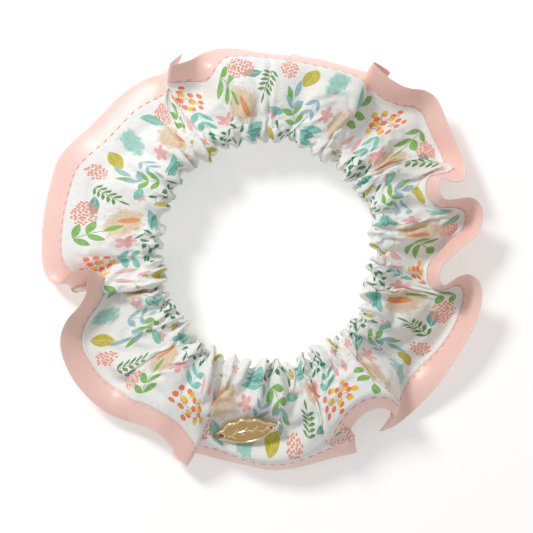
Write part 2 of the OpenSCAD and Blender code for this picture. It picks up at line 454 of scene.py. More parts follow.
def flat_cloth(x, w):
    """Where a grid's points lie on the flat strip: x along it and w across it."""
    return np.stack(np.broadcast_arrays(x[:, None], w[None, :], 0.0), -1)


def mesh_piece(name, points, faces, material, fields=None):
    """A smooth mesh object of points in millimetres."""
    mesh = bpy.data.meshes.new(name)
    mesh.from_pydata((np.asarray(points).reshape(-1, 3) * MM).tolist(), [], faces)
    mesh.polygons.foreach_set("use_smooth", [True] * len(faces))
    for field, values in (fields or {}).items():
        attribute = mesh.attributes.new(field, "FLOAT_VECTOR", "POINT")
        attribute.data.foreach_set("vector", values.astype(np.float32).ravel())
    mesh.materials.append(material)
    ob = bpy.data.objects.new(name, mesh)
    bpy.context.scene.collection.objects.link(ob)
    return ob


def grid_faces(n, rows, wrap_rows=False, wrap_columns=False, start=0):
    index = start + np.arange(n * rows).reshape(n, rows)
    if wrap_columns:
        index = np.concatenate([index, index[:1]])
    if wrap_rows:
        index = np.concatenate([index, index[:, :1]], 1)
    corners = [index[:-1, :-1], index[:-1, 1:], index[1:, 1:], index[1:, :-1]]
    return np.stack(corners, -1).reshape(-1, 4).tolist()


def end_faces(n, rows):
    """Closes both ends of a flat band whose rows go along one face and back along the other."""
    half = np.arange(rows // 2 - 1)
    first = np.stack([half, rows - 1 - half, rows - 2 - half, half + 1], 1)
    return first.tolist() + (first[:, ::-1] + (n - 1) * rows).tolist()


def bend_with_ring(ob, weights):
    """Bakes the piece's world transform into its points. Its weights are not used."""
    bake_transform(ob)


def replaced_nodes(kind, section):
    """The CAD nodes that the section's piece stands for."""
    nodes = [f"{kind}_{section[1]}"]
    return nodes + [f"{kind}_{section[3]}"] if section is SECTIONS[-1] else nodes


def belongs(ob, body, node):
    """The piece rides on this body and stands for this CAD node, which it hides."""
    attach(ob, body)
    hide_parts(node)


def banded_pieces(kind, grid, normals, angles, cloth, material, wrap_rows=False):
    """A grid that goes once round the ring, cut into one piece for each stretch joint."""
    steady = steady_angles(angles)
    made = []
    for (a, b), section in zip(section_ends(angles), SECTIONS):
        columns = slice(a, b + 1)
        part = grid[columns]
        faces = grid_faces(part.shape[0], part.shape[1], wrap_rows)
        if wrap_rows:
            faces += end_faces(*part.shape[:2])
        name = f"{kind}_{section[1]}_to_{section[3]}"
        ob = mesh_piece(name, part, faces, material, {"cloth": cloth[columns]})
        ob.data.normals_split_custom_set_from_vertices(normals[columns].reshape(-1, 3).tolist())
        weights = share(steady[columns], section[0], section[2])
        bend_with_ring(ob, np.repeat(weights, part.shape[1]))
        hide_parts(*replaced_nodes(kind, section))
        made.append((ob, b - a))
    return made


def tube(path, radii, sides=6):
    """A closed round tube along the path: its points and faces."""
    path = np.asarray(path, float)
    ahead = unit(np.gradient(path, axis=0))
    away = np.array([0.0, 0.0, 1.0]) if abs(ahead[0, 2]) < 0.9 else np.array([1.0, 0.0, 0.0])
    side = unit(np.cross(ahead, away))
    over = np.cross(side, ahead)
    turn = TAU * np.arange(sides) / sides
    radii = np.broadcast_to(radii, len(path))[:, None, None]
    ring = np.cos(turn)[None, :, None] * side[:, None] + np.sin(turn)[None, :, None] * over[:, None]
    points = (path[:, None] + ring * radii).reshape(-1, 3)
    faces = grid_faces(len(path), sides, wrap_rows=True)
    last = (len(path) - 1) * sides
    faces += [list(range(sides)), [last + i for i in reversed(range(sides))]]
    return points, faces


def joined(parts):
    """Several (points, faces) as one."""
    points, faces, start = [], [], 0
    for p, f in parts:
        points.append(p)
        faces += [[i + start for i in face] for face in f]
        start += len(p)
    return np.concatenate(points), faces


# ---- The tag's place and the cover ----
# The tag's middle in the frame, its tilt and turn, and how far it stands above the cloth
TAG_SHIFT = -5.2
TAG_R = 47.5
TAG_Z = 10.54
TAG_SLOPE = math.radians(36.77)
TAG_TURN = math.radians(12.5)
TAG_PLAY = 0.9
# Its width, its thickness, its rim's height, the distance between its holes, and what rounds its outline
TAG_W = 8.0
TAG_T = 0.7
TAG_RIM = 0.25
TAG_HOLES = 14.0
TAG_HOLE_R = 0.75
TAG_EYE_R = 1.5
SCALLOP_R = 2.7
SCALLOP_STEP = 3.4


def tag_axes():
    """The tag's own x, y and z, and its middle, as the CAD places it."""
    tilt = np.array(Matrix.Rotation(TAG_SLOPE, 3, "X") @ Matrix.Rotation(TAG_TURN, 3, "Z"))
    return tilt.T, np.array([TAG_SHIFT, -TAG_R, TAG_Z])


def settle_under_tag(grid, top_rows, strength):
    """Lays the cloth flat just below the tag."""
    axes, middle = tag_axes()
    top = grid[:, : top_rows - 3]
    local = (top - middle) @ axes.T
    near = np.exp(-np.abs(local[..., 0] / 12) ** 4 - np.abs(local[..., 1] / 7) ** 4)
    clear_of_ribbon = np.clip((np.arange(top_rows - 3) - 1) / 5, 0, 1)
    near = near * clear_of_ribbon * (np.abs(local[..., 2]) < 12) * strength
    rise = np.abs(local[..., 0] / 12) ** 2 * 0.3
    drop = (rise - 0.1 - local[..., 2]) * near
    out = grid.copy()
    out[:, : top_rows - 3] = top + drop[..., None] * axes[2]
    return out


def clear_of_tag(grid, top_rows):
    """Presses both layers down where they would still stand above the tag's underside."""
    axes, middle = tag_axes()
    local = (grid - middle) @ axes.T
    rows = np.arange(grid.shape[1])
    ceiling = np.where(rows < top_rows, -0.2, -1.1)
    around = np.exp(-(((local[..., 0] / 11.5) ** 2 + (local[..., 1] / 7) ** 2) ** 3))
    from_edges = np.clip((np.minimum(rows, rows[::-1]) - 2) / 8, 0, 1)
    excess = np.maximum(local[..., 2] - ceiling, 0) * around * from_edges
    return grid - (excess * (local[..., 2] < 8))[..., None] * axes[2]


def smooth_to_ribbon(grid, across):
    """Rolls the cloth evenly away from the ribbon on both faces, without a groove beside the seam."""
    out = grid.copy()
    reach = 6
    for face in (grid, grid[:, ::-1]):
        edge, far = face[:, 0], face[:, reach]
        swell = edge + across * np.linalg.norm(far - edge, axis=1, keepdims=True) * 0.5
        for j in range(1, reach):
            t = j / reach
            even = (1 - t) ** 2 * edge + 2 * t * (1 - t) * swell + t**2 * far
            rolled = mix(face[:, j], even, 0.95 * (1 - t**2))
            out[:, j if face is grid else -1 - j] = rolled
    return out


def closing_seam(grid, normals):
    """Draws the cloth in along the seam that closes the strip, with a soft swelling on both sides."""
    n, rows = grid.shape[:2]
    x = np.arange(n) * STRIP_L / n
    away = np.minimum(x, STRIP_L - x)
    dent = -0.85 * np.exp(-((away / 0.5) ** 2)) + 0.3 * np.exp(-(((away - 1.7) / 0.9) ** 2))
    from_ends = np.minimum(np.arange(rows), np.arange(rows)[::-1]) / 10
    return grid + normals * (dent[:, None] * np.clip(from_ends, 0.12, 1)[None, :])[..., None]


def turned_edges(grid, sewn, across, normal):
    """Adds the cover's folded edges, which turn in against the ribbon on both faces of it."""
    rows = []
    for out, lift in ((0.1, 0.2), (0.38, 0.27), (0.36, 0.4)):
        rows.append((sewn - across * out, normal * lift))
    over = np.stack([p + q for p, q in rows], 1)
    under = np.stack([p - q for p, q in reversed(rows)], 1)
    hidden_over = mix(grid[:, 2], grid[:, -3], 0.3)[:, None]
    hidden_under = mix(grid[:, 2], grid[:, -3], 0.7)[:, None]
    return np.concatenate([hidden_over, over, grid, under, hidden_under], 1)


def make_cover(lines, material):
    """The cotton cover, relaxed by cloth simulation. Returns its fine grid and the columns' angles."""
    edge, sewn, across = ruffle_lines(SIM_COLUMNS)
    base, top_rows = cover_base(edge, sewn, across, fold_frame(edge, sewn, across))
    base = settle_under_tag(base, top_rows, 0.8)
    grid = gathers(base, top_rows)
    grid = relax_cloth(grid, top_rows, SIM_FRAMES)
    grid = settle_under_tag(grid, top_rows, 0.9)
    grid = smooth_to_ribbon(grid, across)
    grid = refine(soften(grid, 1), FINE)
    grid = clear_of_tag(grid, top_rows * FINE)
    grid[..., 2] = np.maximum(grid[..., 2], FLOOR_GAP)
    angles = np.degrees(inner_angles(sewn))
    angles = np.append(angles, angles[0] + 360) + 90 - angles[0]
    angles = np.interp(np.arange(COLUMNS + 1) / FINE, np.arange(SIM_COLUMNS + 1), angles)
    _, sewn, across = lines
    grid = closing_seam(grid, -grid_normals(grid))
    whole = turned_edges(grid, sewn, across, fold_frame(*lines))
    rows = grid.shape[1]
    w = np.linspace(0, TOP_W + UNDER_W, rows)
    w = np.concatenate([[-2.4, -0.7, -0.4, -0.2], w, w[-1] + np.array([0.2, 0.4, 0.7, 2.4])])
    cloth = flat_cloth(np.linspace(0, STRIP_L, COLUMNS + 1), w)
    normals = grid_normals(whole)
    whole, normals = [np.concatenate([values, values[:1]]) for values in (whole, normals)]
    pieces = banded_pieces("cover", whole, normals, angles, cloth, material)
    for ob, steps in pieces:
        length = steps * STRIP_L / COLUMNS * MM
    return grid, angles


# ---- The ribbon ----
# The lap of its ends in columns, the columns before the seam where it starts, and its rise over the first end
LAP = 9
LAP_START = 19
LAP_RISE = 0.42
RIBBON_BOW = 0.28


def make_ribbon(lines, grid, angles, material):
    """The satin ribbon. Its ends lap by the closing seam, the last on top of the first."""
    edge, sewn, across = lines
    normal = fold_frame(*lines)
    hidden = np.linspace(-RIBBON_SEAM, 0, 5)[:-1]
    shown = np.linspace(0, RIBBON_W, RIBBON_ROWS)
    rows = grid.shape[1]
    depth = np.round(-hidden / (TOP_W + UNDER_W) * (rows - 1)).astype(int)
    inside = (grid[:, depth] + grid[:, rows - 1 - depth]) / 2
    bow = np.sin(math.pi * shown / RIBBON_W) * RIBBON_BOW
    outside = sewn[:, None] - across[:, None] * shown[None, :, None] + normal[:, None] * bow[None, :, None]
    middle = np.concatenate([inside, outside], 1)
    # round the ring from LAP_START columns before the seam to LAP past it
    order = np.arange(-LAP_START, COLUMNS - LAP_START + LAP + 1)
    middle = middle[order % COLUMNS]
    face = normal[order % COLUMNS][:, None]
    left = np.clip((len(order) - 1 - np.arange(len(order))) / LAP, 0, 1)
    raised = LAP_RISE * (1 - left**2 * (3 - 2 * left))
    fringe = np.concatenate([np.zeros(len(hidden)), shown / RIBBON_W])
    middle = middle + face * raised[:, None, None]
    middle = middle - across[order % COLUMNS][:, None] * (raised[:, None] * fringe[None, :] * 1.6)[..., None]
    half = np.full(middle.shape[1], RIBBON_T / 2)
    half[[0, -1]] = RIBBON_T / 4
    band = np.concatenate([middle + face * half[:, None], (middle - face * half[:, None])[:, ::-1]], 1)
    across_w = np.concatenate([hidden, shown])
    across_w = np.concatenate([across_w, across_w[::-1]])
    cloth = flat_cloth(order * STRIP_L / COLUMNS, across_w)
    turn = np.interp(order % COLUMNS, np.arange(COLUMNS + 1), angles) + 360 * (order // COLUMNS)
    normals = grid_normals(band, True, False)
    pieces = banded_pieces("ribbon", band, normals, turn, cloth, material, True)
    for ob, steps in pieces:
        length = steps * STRIP_L / COLUMNS * MM


# ---- Stitching, elastic and tag ----
# The edge stitching, how far out from the sewn line it runs, and the closing seam's stitches
STITCH_PITCH = 2.6
STITCH_L = 1.9
STITCH_IN = 0.95
CLOSING_PITCH = 2.3
CLOSING_L = 1.6


def stitch(path, normal, radius=0.12):
    """One stitch lying on the cloth along five points, its ends going down into the cloth."""
    sink = np.array([-0.22, 0.02, 0.08, 0.02, -0.22])
    return tube(path + normal * sink[:, None], radius * np.array([0.7, 1, 1, 1, 0.7]), 6)


def make_edge_stitching(lines, angles, material):
    """The row of stitches that holds the ribbon, on both its faces."""
    _, sewn, across = lines
    normal = fold_frame(*lines)
    steady = steady_angles(angles)
    steps = np.arange(COLUMNS)
    line = sewn - across * STITCH_IN
    count = round(STRIP_L / STITCH_PITCH)
    pitch = COLUMNS / count
    length = STITCH_L / STITCH_PITCH * pitch
    for (a, b), section in zip(section_ends(angles), SECTIONS):
        parts, weights = [], []
        for k in range(count):
            u = k * pitch + np.linspace(0.15, 0.15 + length, 5)
            if not a <= u[2] < b:
                continue
            middle, up = [sample(values, steps, u, period=COLUMNS) for values in (line, normal)]
            for side in (1, -1):
                face = up * side
                parts.append(stitch(middle + face * (RIBBON_T / 2 + 0.16), face))
                weight = share(np.interp(u[2], np.arange(COLUMNS + 1), steady), section[0], section[2])
                weights.append(np.full(len(parts[-1][0]), weight))
        ob = mesh_piece(f"edge_stitching_{section[1]}_to_{section[3]}", *joined(parts), material)
        bend_with_ring(ob, np.concatenate(weights))
        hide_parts(*replaced_nodes("edge_stitching", section))


def make_closing_stitches(grid, material):
    """The stitches of the seam that closes the strip, down in its crease."""
    column = grid[0]
    rows = len(column)
    normal = -grid_normals(grid)[0]
    per_row = (TOP_W + UNDER_W) / (rows - 1)
    step = CLOSING_PITCH / per_row
    parts = []
    for k in range(1, int((rows - 4) / step)):
        u = k * step + np.linspace(0, CLOSING_L / per_row, 5)
        path, face = [sample(values, np.arange(rows), u) for values in (column, normal)]
        face = unit(face)
        parts.append(stitch(path + face * 0.1, face, 0.13))
    ob = mesh_piece("closing_seam_stitching", *joined(parts), material)
    belongs(ob, "back_end_right", "closing_seam_stitching")


ELASTIC_W = 7.0
ELASTIC_T = 1.0
# How far out from the inner fold it lies, its lap in degrees, and the gap between the lapped ends
ELASTIC_OUT = 2.3
ELASTIC_LAP = 15
ELASTIC_GAP = 0.15
ELASTIC_RIBS = 7
ELASTIC_COLUMNS = 320


def elastic_line(angle, out):
    """A point of the ring at this angle in degrees, out from the inner fold by this much."""
    a = np.radians(angle)
    return np.stack([(INNER_X + out) * np.cos(a), (INNER_Y + out) * np.sin(a), 0 * a], -1)


def make_elastic(material):
    """The woven elastic: ribbed along its length, with its ends lapped by the closing seam."""
    angles = np.linspace(90 - ELASTIC_LAP / 2, 450 + ELASTIC_LAP / 2, ELASTIC_COLUMNS)
    z = np.linspace(-0.5, 0.5, ELASTIC_RIBS * 4)
    rib = 0.1 * np.abs(np.cos(math.pi * ELASTIC_RIBS * z)) - 0.1
    end = np.clip(np.abs(z) * 2, 0, 1) ** 12 * 0.3
    half = ELASTIC_T / 2 + rib - end
    lap = np.clip((angles - 450 + ELASTIC_LAP / 2) / 5, 0, 1)
    out = ELASTIC_OUT + (ELASTIC_T + ELASTIC_GAP) * lap**2 * (3 - 2 * lap)
    middle = elastic_line(angles, 0)
    radial = unit(middle)
    spot = middle[:, None] + radial[:, None] * out[:, None, None]
    low = np.array([0.0, 0.0, 1.0]) * (INNER_Z + z * ELASTIC_W)[:, None]
    near = spot - radial[:, None] * half[None, :, None] + low[None]
    far = spot + radial[:, None] * half[None, :, None] + low[None]
    band = np.concatenate([near, far[:, ::-1]], 1)
    cloth = flat_cloth(np.radians(angles) * INNER_X, np.concatenate([z, z[::-1]]) * ELASTIC_W)
    normals = grid_normals(band, True, False)
    banded_pieces("elastic", band, normals, angles, cloth, material, True)


def make_elastic_join(material):
    """Three zigzag rows that join the elastic's lapped ends."""
    parts = []
    for angle in (-4.5, 0, 4.5):
        t = np.linspace(0, 1, 15)
        swing = 1.1 * (np.arange(15) % 2 - 0.5)
        for face in (-1, 1):
            out = ELASTIC_OUT + (0 if face < 0 else ELASTIC_T + ELASTIC_GAP) + face * (ELASTIC_T / 2 + 0.05)
            path = elastic_line(90 + angle + swing, out)
            path[:, 2] = INNER_Z + (t - 0.5) * (ELASTIC_W - 1.2)
            parts.append(tube(path, 0.16))
    ob = mesh_piece("elastic_join_stitching", *joined(parts), material)
    belongs(ob, "back_end_left", "elastic_join_stitching")


def tag_outline(count=180):
    """The tag's outline round its middle: a pointed oval with three scallops above and an eye at each end."""
    half_l, half_w = TAG_HOLES / 2 + 0.6, TAG_W / 2
    r = (half_l**2 + half_w**2) / (2 * half_w)
    rounds = [(i * SCALLOP_STEP - 0.4, half_w - 2.35 - abs(i) * 0.75, SCALLOP_R) for i in (-1, 0, 1)]
    rounds += [(side * TAG_HOLES / 2, 0.0, TAG_EYE_R) for side in (-1, 1)]
    points = []
    for a in TAU * np.arange(count) / count:
        c, s = math.cos(a), math.sin(a)
        rise = (r - half_w) * abs(s)
        reach = -rise + math.sqrt(rise**2 + r**2 - (r - half_w) ** 2)
        for x, y, radius in rounds:
            along = x * c + y * s
            inside = radius**2 - (x * x + y * y - along**2)
            if inside > 0:
                reach = max(reach, along + math.sqrt(inside))
        points.append((reach * c, reach * s))
    return np.array(points)


def flat_solid(outlines, thickness, bevel):
    """A plate with these outlines, holes among them, and rounded edges, in the outlines' own units."""
    curve = bpy.data.curves.new("outline", "CURVE")
    curve.dimensions = "2D"
    curve.fill_mode = "BOTH"
    curve.extrude = thickness / 2 - bevel
    curve.bevel_depth = bevel
    curve.bevel_resolution = 2
    for outline in outlines:
        spline = curve.splines.new("POLY")
        spline.points.add(len(outline) - 1)
        flat = np.concatenate([outline, np.zeros((len(outline), 1)), np.ones((len(outline), 1))], 1)
        spline.points.foreach_set("co", flat.ravel())
        spline.use_cyclic_u = True
    ob = bpy.data.objects.new("outline", curve)
    bpy.context.scene.collection.objects.link(ob)
    mesh = bpy.data.meshes.new_from_object(ob.evaluated_get(bpy.context.evaluated_depsgraph_get()))
    points = np.array([v.co for v in mesh.vertices])
    faces = [list(p.vertices) for p in mesh.polygons]
    bpy.data.objects.remove(ob)
    bpy.data.meshes.remove(mesh)
    return points, faces


def relief_leaf(x, y, turn, length, width):
    """A raised leaf on the tag: a low dome over a pointed oval."""
    rows, columns = 5, 13
    t = np.linspace(0, 1, columns)
    v = np.linspace(-1, 1, rows)
    half = width * 2 * t * (1 - t) + 0.01
    px = (t * length)[:, None] + 0 * v[None]
    py = half[:, None] * v[None]
    pz = 0.24 * (1 - v[None] ** 2) * np.sin(math.pi * t)[:, None] ** 0.5 - 0.02
    c, s = math.cos(turn), math.sin(turn)
    points = np.stack([x + px * c - py * s, y + px * s + py * c, TAG_T + pz], -1).reshape(-1, 3)
    return points, grid_faces(columns, rows)


def eye(side, radius):
    """A circle round the tag's hole on this side, on its upper face."""
    turn = TAU * np.arange(24) / 24
    x = side * TAG_HOLES / 2 + radius * np.cos(turn)
    return np.stack([x, radius * np.sin(turn), 0 * turn + TAG_T], 1)


def make_tag(plate_material, rim_material):
    """The metal tag: a scalloped plate with a raised rim and a sprig in relief."""
    outline = tag_outline()
    holes = [eye(side, TAG_HOLE_R)[:, :2] for side in (-1, 1)]
    plate, plate_faces = flat_solid([outline, *holes], TAG_T, 0.1)
    plate = plate + np.array([0, 0, TAG_T / 2])
    inset = outline * (1 - 0.32 / np.linalg.norm(outline, axis=1))[:, None]
    closed = np.concatenate([inset, inset[:2]])
    rim_path = np.concatenate([closed, np.full((len(closed), 1), TAG_T + 0.02)], 1)
    raised = [tube(rim_path, 0.27, 8)]
    for side in (-1, 1):
        ring = eye(side, TAG_HOLE_R + 0.2)
        raised.append(tube(np.concatenate([ring, ring[:2]]), 0.2, 8))
    t = np.linspace(0, 1, 24)
    stem = np.stack([-5.4 + 10.6 * t, -0.9 + 1.3 * np.sin(t * math.pi) * (1 - 0.3 * t), 0 * t + TAG_T], 1)
    raised.append(tube(stem, 0.13, 6))
    for k, place in enumerate(np.linspace(0.08, 0.94, 8)):
        x, y = np.interp(place, t, stem[:, 0]), np.interp(place, t, stem[:, 1])
        side = 1 if k % 2 else -1
        raised.append(relief_leaf(x, y, side * (0.95 - 0.35 * place), 2.1 - 0.5 * place, 0.62))
    rim, rim_faces = joined(raised)
    axes, middle = tag_axes()
    points = np.concatenate([plate, rim]) + np.array([0, 0, TAG_PLAY])
    points = points @ axes + middle
    faces = plate_faces + [[i + len(plate) for i in f] for f in rim_faces]
    ob = mesh_piece("tag_plate_engraved", points, faces, plate_material)
    ob.data.materials.append(rim_material)
    slots = np.zeros(len(faces), np.int32)
    slots[len(plate_faces) :] = 1
    ob.data.polygons.foreach_set("material_index", slots)
    ob.data.set_sharp_from_angle(angle=math.radians(40))
    belongs(ob, "tag", "tag_plate")


def make_tag_thread(name, side, material):
    """Loops of thread from the cotton through the tag's hole and over its end, with a knot at the outside."""
    axes, middle = tag_axes()
    parts = []
    top = TAG_PLAY + TAG_T + TAG_RIM + 0.42
    for fan in (-0.28, 0.0, 0.28):
        t = np.linspace(0, 1, 17)
        x = TAG_HOLES / 2 + 2.0 * t
        z = mix(-2.0, top + 0.1 * (fan == 0), np.clip(np.sin(math.pi * t) * 1.7, 0, 1))
        y = fan * (1 - 0.4 * np.cos(math.pi * t)) * np.sin(math.pi * np.clip(t, 0.02, 0.98)) ** 0.3
        parts.append(tube(np.stack([side * x, y, z], 1), 0.17, 6))
    t = np.linspace(0, 1, 60)
    wind = TAU * 4 * t
    ball = 0.42 + 0.12 * np.sin(TAU * 3 * t)
    knot = np.stack([
        side * (TAG_HOLES / 2 + 1.95) + ball * np.cos(wind) * 0.9,
        ball * np.sin(wind + 0.8 * np.sin(TAU * t)),
        0.75 + 0.38 * np.cos(wind * 0.7 + 1.0),
    ], 1)
    parts.append(tube(knot, 0.16, 6))
    points, faces = joined(parts)
    ob = mesh_piece(f"{name}_strands", points @ axes + middle, faces, material)
    belongs(ob, "front", name)


# ---- Materials ----
class Wire:
    """A number or vector that a node gives, to calculate with like a number."""

    def __init__(self, tree, socket):
        self.tree, self.socket = tree, socket

    def math(self, operation, *others):
        return self.tree.math(operation, self, *others)

    def parts(self):
        return self.tree.node("ShaderNodeSeparateXYZ", [self])

    def times(self, vector):
        return self.tree.node("ShaderNodeVectorMath", [self, vector], operation="MULTIPLY")[0]

    def length(self):
        return self.tree.node("ShaderNodeVectorMath", [self], operation="LENGTH")[1]

    def remap(self, *ends, **settings):
        """From between the first two numbers to between the last two."""
        return self.tree.node("ShaderNodeMapRange", [self, *ends], **settings)[0]

    def step(self, soft):
        """1 where the number is above 0, with a soft edge."""
        return self.remap(-soft, soft, 0.0, 1.0, interpolation_type="SMOOTHSTEP")

    def __rsub__(self, other):
        return self.tree.math("SUBTRACT", other, self)

    def __rtruediv__(self, other):
        return self.tree.math("DIVIDE", other, self)


OPERATORS = {"add": "ADD", "sub": "SUBTRACT", "mul": "MULTIPLY", "truediv": "DIVIDE", "abs": "ABSOLUTE"}
OPERATORS |= {"mod": "FLOORED_MODULO", "gt": "GREATER_THAN", "lt": "LESS_THAN"}
for name, operation in OPERATORS.items():
    setattr(Wire, f"__{name}__", partialmethod(Wire.math, operation))


class Tree:
    """Short names for the nodes of one tree. A node's inputs are numbers, colours or wires."""

    def __init__(self, tree):
        self.tree = tree

    def put(self, value, socket):
        if isinstance(value, Wire):
            self.tree.links.new(value.socket, socket)
        else:
            socket.default_value = value

    def node(self, kind, inputs=(), **settings):
        """Adds a node and returns wires from its outputs."""
        n = self.tree.nodes.new(kind)
        for key, value in settings.items():
            setattr(n, key, value)
        for key, value in inputs.items() if isinstance(inputs, dict) else enumerate(inputs):
            self.put(value, n.inputs[key])
        return [Wire(self, socket) for socket in n.outputs]

    def math(self, operation, *values):
        return self.node("ShaderNodeMath", values, operation=operation)[0]

    def join(self, x, y):
        return self.node("ShaderNodeCombineXYZ", [x, y, 0.0])[0]

    def noise(self, vector, scale, detail=2.0, roughness=0.5, dimensions="2D"):
        inputs = {"Vector": vector, "Scale": scale, "Detail": detail, "Roughness": roughness}
        return self.node("ShaderNodeTexNoise", inputs, noise_dimensions=dimensions)[0]

    def cloth(self):
        """The place on the flat cloth, in millimetres."""
        return self.node("ShaderNodeAttribute", attribute_name="cloth")[1]

    def place(self):
        """The place in the object's own axes."""
        return Wire(self, self.tree.nodes.new("ShaderNodeTexCoord").outputs["Object"])

    def paint(self, under, over, mask):
        return self.node("ShaderNodeMix", {0: mask, 6: under, 7: over}, data_type="RGBA")[2]

    def toned(self, color, tone):
        return self.node("ShaderNodeVectorMath", {0: color, "Scale": tone}, operation="SCALE")[0]

    def bump(self, height, strength, distance):
        return self.node("ShaderNodeBump", {"Strength": strength, "Distance": distance, "Height": height})[0]

    def finish(self, material, inputs):
        """Sets or links these inputs of the material's shader."""
        shader = self.tree.nodes["Principled BSDF"]
        for name, value in inputs.items():
            self.put(value, shader.inputs[name])
        return material


def surface(name):
    """A new material and its tree."""
    m = bpy.data.materials.new(name)
    m.use_nodes = True
    return m, Tree(m.node_tree)


def rgb(r, g, b):
    """A colour given as 0 to 255 in sRGB, as linear."""
    linear = [((c / 255 + 0.055) / 1.055) ** 2.4 if c > 10 else c / 3295 for c in (r, g, b)]
    return (*linear, 1.0)


def motif(name, numbers, draw):
    """A node group that turns a place, in millimetres from the motif's middle, into a mask."""
    group = bpy.data.node_groups.new(name, "ShaderNodeTree")
    group.interface.new_socket("place", in_out="INPUT", socket_type="NodeSocketVector")
    for number in numbers:
        group.interface.new_socket(number, in_out="INPUT", socket_type="NodeSocketFloat")
    group.interface.new_socket("mask", in_out="OUTPUT", socket_type="NodeSocketFloat")
    t = Tree(group)
    place, *sizes = t.node("NodeGroupInput")[: len(numbers) + 1]
    t.put(draw(t, place, *sizes), group.nodes.new("NodeGroupOutput").inputs[0])
    return group


SOFT = 0.09


def lens(along, aside, length, width):
    """A pointed leaf from 0 to length, width across its middle."""
    q = along / length
    return q * (1.0 - q) * 2.0 * width - abs(aside)


def draw_sprig(t, place, pairs, step, length, width, lean):
    """A stem along y with pairs of leaves, and one leaf at its end."""
    x, y, _ = place.parts()
    wide = abs(x)
    cell = y % step
    sine, cosine = lean.math("SINE"), lean.math("COSINE")
    leaves = lens(wide * sine + cell * cosine, wide * cosine - cell * sine, length, width)
    tall = pairs * step
    inside = (y > 0.0) * (y < tall)
    tip = lens(y - tall, x, length, width)
    stem = (0.11 - wide).step(SOFT) * inside
    leaves = leaves.step(SOFT) * inside
    return leaves.math("MAXIMUM", stem).math("MAXIMUM", tip.step(SOFT))


def draw_leaf(t, place, length, width):
    """A curved leaf with a paler rib."""
    x, y, _ = place.parts()
    bent = x - y * y * 0.03
    blade = lens(y, bent, length, width).step(SOFT)
    rib = (abs(bent) - 0.07).step(SOFT)
    return blade * (rib * 0.45 + 0.55)


def draw_dots(t, place, across, high, pitch, dot):
    """Round dots, packed closely in an oval."""
    cells = {"Vector": place, "Scale": 1.0 / pitch, "Randomness": 0.45}
    distance, _, position = t.node("ShaderNodeTexVoronoi", cells, voronoi_dimensions="2D")[:3]
    dots = (dot - distance * pitch).step(SOFT)
    x, y, _ = position.parts()
    return dots * (t.join(x / across, y / high).length() < 1.0)


def draw_blossom(t, place, size, petals):
    """A flower with rounded petals."""
    x, y, _ = place.parts()
    wave = abs((x.math("ARCTAN2", y) * (petals * 0.5)).math("COSINE"))
    return (size * (wave * 0.55 + 0.45) - place.length()).step(SOFT * 1.5)


def draw_blot(t, place, across, high):
    """A watercolour blot with an uneven edge."""
    x, y, _ = place.parts()
    oval = t.join(x / across, y / high).length()
    uneven = (t.noise(place, 0.45, 4.0, 0.7) - 0.5) * 1.5
    return (1.0 - oval - uneven).step(0.22) * (t.noise(place, 1.6, 5.0, 0.75) + 0.3)


def draw_vine(t, place, length, bow, step, leaf):
    """A thin waving stem along x with small leaves on both sides by turns."""
    x, y, _ = place.parts()
    off = y - (x * 0.75).math("SINE") * bow
    inside = abs(x) < length * 0.5
    stem = (0.1 - abs(off)).step(SOFT) * inside
    cell = x % step
    turn = (x / step).math("FLOOR") % 2.0
    side = off * (turn * 2.0 - 1.0)
    leaves = lens((cell + side) * 0.707, (cell - side) * 0.707, leaf, leaf * 0.42)
    return stem.math("MAXIMUM", leaves.step(SOFT) * inside)


LIGHT_GREEN = rgb(122, 182, 76)
DEEP_GREEN = rgb(0, 124, 72)
FERN_GREEN = rgb(88, 146, 58)
TEAL = rgb(120, 200, 182)
SEA = rgb(92, 168, 156)
MIST = rgb(150, 192, 200)
OLIVE = rgb(198, 184, 16)
CORAL = rgb(243, 150, 122)
ORANGE = rgb(250, 118, 52)
YELLOW = rgb(242, 204, 48)
BLUE = rgb(84, 124, 198)
TAN = rgb(220, 188, 145)
RUST = rgb(228, 142, 82)
ROSE = rgb(240, 176, 172)

REPEAT = 78.0
# How much further along its repeat the print starts on the underside
UNDER_SHIFT = 31.0
